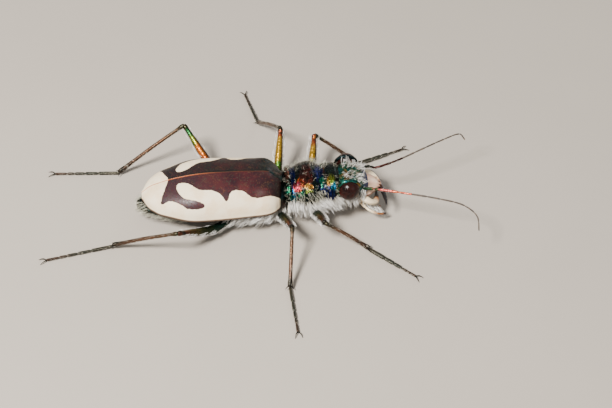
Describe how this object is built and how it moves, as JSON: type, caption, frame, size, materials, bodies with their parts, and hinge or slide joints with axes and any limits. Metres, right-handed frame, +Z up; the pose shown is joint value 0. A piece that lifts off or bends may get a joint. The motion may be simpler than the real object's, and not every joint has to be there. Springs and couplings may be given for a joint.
{
  "type": "tiger beetle",
  "caption": "Tiger beetle standing alert: maroon wing cases with joined ivory bands, metallic green and copper body, long thin legs, curved ivory jaws and white bristles.",
  "frame": {"origin": "floor under the middle of the whole insect, legs and antennae included", "axes": "+X towards the head, +Y to the beetle's left, +Z up"},
  "size_m": [0.0318, 0.026, 0.0042],
  "materials": {
    "wing_case": "semi-gloss, finely pitted",
    "body_metal": "metallic gloss, finely wrinkled",
    "underside": "metallic gloss",
    "leg": "metallic gloss",
    "eye": "polished, finely faceted",
    "ivory": "satin",
    "jaw": "polished",
    "antenna": "dull"
  },
  "bodies": {
    "root": {"elytron_left": "wing_case", "elytron_right": "wing_case", "abdomen": "underside", "head": "body_metal", "eye_left": "eye", "eye_right": "eye", "labrum": "ivory", "mandible_left": "jaw", "maxillary_palp_left": "jaw", "labial_palp_left": "ivory", "mandible_right": "jaw", "maxillary_palp_right": "jaw", "labial_palp_right": "ivory", "antenna_right_base": "leg", "antenna_right_tip": "antenna", "antenna_left_base": "leg", "antenna_left_tip": "antenna", "coxa_front_right": "underside", "femur_front_right": "leg", "tibia_front_right": "leg", "tarsus_front_right": "leg", "coxa_front_left": "underside", "femur_front_left": "leg", "tibia_front_left": "leg", "tarsus_front_left": "leg", "coxa_middle_right": "underside", "femur_middle_right": "leg", "tibia_middle_right": "leg", "tarsus_middle_right": "leg", "coxa_middle_left": "underside", "femur_middle_left": "leg", "tibia_middle_left": "leg", "tarsus_middle_left": "leg", "coxa_hind_right": "underside", "femur_hind_right": "leg", "tibia_hind_right": "leg", "tarsus_hind_right": "leg", "coxa_hind_left": "underside", "femur_hind_left": "leg", "tibia_hind_left": "leg", "tarsus_hind_left": "leg", "prothorax": "body_metal", "thorax": "underside", "scutellum": "body_metal"}
  },
  "joints": []
}
